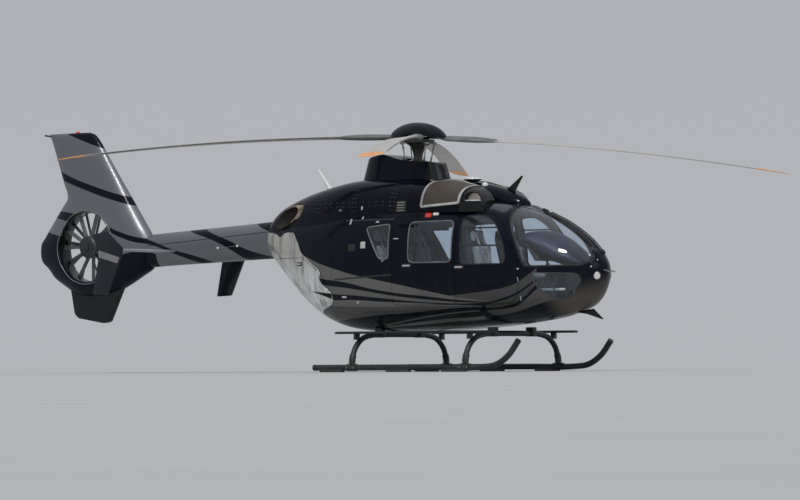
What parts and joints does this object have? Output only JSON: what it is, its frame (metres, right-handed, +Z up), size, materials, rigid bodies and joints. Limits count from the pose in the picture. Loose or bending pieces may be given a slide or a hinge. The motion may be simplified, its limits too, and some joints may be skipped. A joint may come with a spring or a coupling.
{
  "type": "helicopter",
  "caption": "Light twin-engine helicopter on skids with a shrouded tail fan, a hollow cabin behind hinged doors and rear clamshell doors.",
  "frame": {"origin": "bottom centre of the bounding box of the parked helicopter, at ground level under the skids", "axes": "+X forward to the nose, +Y to port, +Z up"},
  "size_m": [11.4924, 8.8734, 3.545],
  "materials": {
    "navy_skin": "deep gloss navy paint, nearly black",
    "silver_skin": "metallic silver-grey paint",
    "black_skin": "gloss black paint",
    "window_glass": "grey tinted acrylic glass",
    "blade_composite": "grey-beige composite, satin",
    "dark_steel": "machined steel",
    "exhaust_steel": "heat-stained steel",
    "intake_grey": "grey frame with a brownish mesh",
    "fan_alloy": "dark grey painted alloy",
    "gear_paint": "dark teal-black satin paint",
    "cabin_grey": "dark grey textured cabin trim",
    "seat_leather": "grey-brown leather",
    "white_trim": "white"
  },
  "bodies": {
    "airframe": {"lower_fuselage": "navy_skin", "cabin_frame": "navy_skin", "rear_fuselage": "navy_skin", "cabin_floor": "cabin_grey", "windscreen_right": "window_glass", "roof_window_right": "window_glass", "chin_window_right": "window_glass", "rear_window_right": "window_glass", "sliding_door_right": "navy_skin", "sliding_door_window_right": "window_glass", "windscreen_left": "window_glass", "roof_window_left": "window_glass", "chin_window_left": "window_glass", "rear_window_left": "window_glass", "sliding_door_left": "navy_skin", "sliding_door_window_left": "window_glass", "engine_cowling": "navy_skin", "engine_right": "dark_steel", "engine_left": "dark_steel", "main_gearbox": "dark_steel", "exhaust_pipe_right": "exhaust_steel", "exhaust_pipe_left": "exhaust_steel", "roof_fairing": "navy_skin", "wire_cutter_lower": "gear_paint", "intake_right": "intake_grey", "intake_left": "intake_grey", "mast_fairing_front": "navy_skin", "mast_fairing": "navy_skin", "tail_fin_shroud": "silver_skin", "tail_boom": "silver_skin", "ventral_fin": "black_skin", "fan_stator": "fan_alloy", "tailplane_right": "silver_skin", "tailplane_left": "silver_skin", "cross_tube_front": "gear_paint", "cross_tube_rear": "gear_paint", "skid_right": "gear_paint", "skid_left": "gear_paint", "step_right": "gear_paint", "step_left": "gear_paint", "pilot_seat_right": "seat_leather", "pilot_seat_left": "seat_leather", "cabin_seats": "seat_leather", "instrument_panel": "cabin_grey", "whip_antenna": "white_trim"},
    "main_rotor": {"rotor_mast": "dark_steel", "hub_cap": "navy_skin", "swashplate": "dark_steel", "main_blade_1": "blade_composite", "main_blade_2": "blade_composite", "main_blade_3": "blade_composite", "main_blade_4": "blade_composite"},
    "tail_fan": {"tail_fan": "fan_alloy"},
    "front_door_right": {"front_door_right": "navy_skin", "front_door_window_right": "window_glass"},
    "front_door_left": {"front_door_left": "navy_skin", "front_door_window_left": "window_glass"},
    "clamshell_door_right": {"clamshell_door_right": "navy_skin"},
    "clamshell_door_left": {"clamshell_door_left": "navy_skin"}
  },
  "joints": [
    {"name": "main_rotor_turn", "type": "hinge", "parent": "airframe", "child": "main_rotor", "pos_m": [1.3258, 0, 3.205], "axis": [0.0349, 0, 0.9994], "continuous": true},
    {"name": "tail_fan_turn", "type": "hinge", "parent": "airframe", "child": "tail_fan", "pos_m": [-4.7742, 0, 1.84], "axis": [0, 1, 0], "continuous": true},
    {"name": "front_door_right_swing", "type": "hinge", "parent": "airframe", "child": "front_door_right", "pos_m": [3.5478, -0.68, 1.1], "axis": [-0.208, 0.0249, 0.9778], "range_deg": [0, 70]},
    {"name": "front_door_left_swing", "type": "hinge", "parent": "airframe", "child": "front_door_left", "pos_m": [3.5478, 0.68, 1.1], "axis": [0.208, 0.0249, -0.9778], "range_deg": [0, 70]},
    {"name": "clamshell_door_right_swing", "type": "hinge", "parent": "airframe", "child": "clamshell_door_right", "pos_m": [0.2238, -0.738, 1.245], "axis": [-0.5891, 0.0747, 0.8046], "range_deg": [0, 90]},
    {"name": "clamshell_door_left_swing", "type": "hinge", "parent": "airframe", "child": "clamshell_door_left", "pos_m": [0.2238, 0.738, 1.245], "axis": [0.5891, 0.0747, -0.8046], "range_deg": [0, 90]}
  ]
}
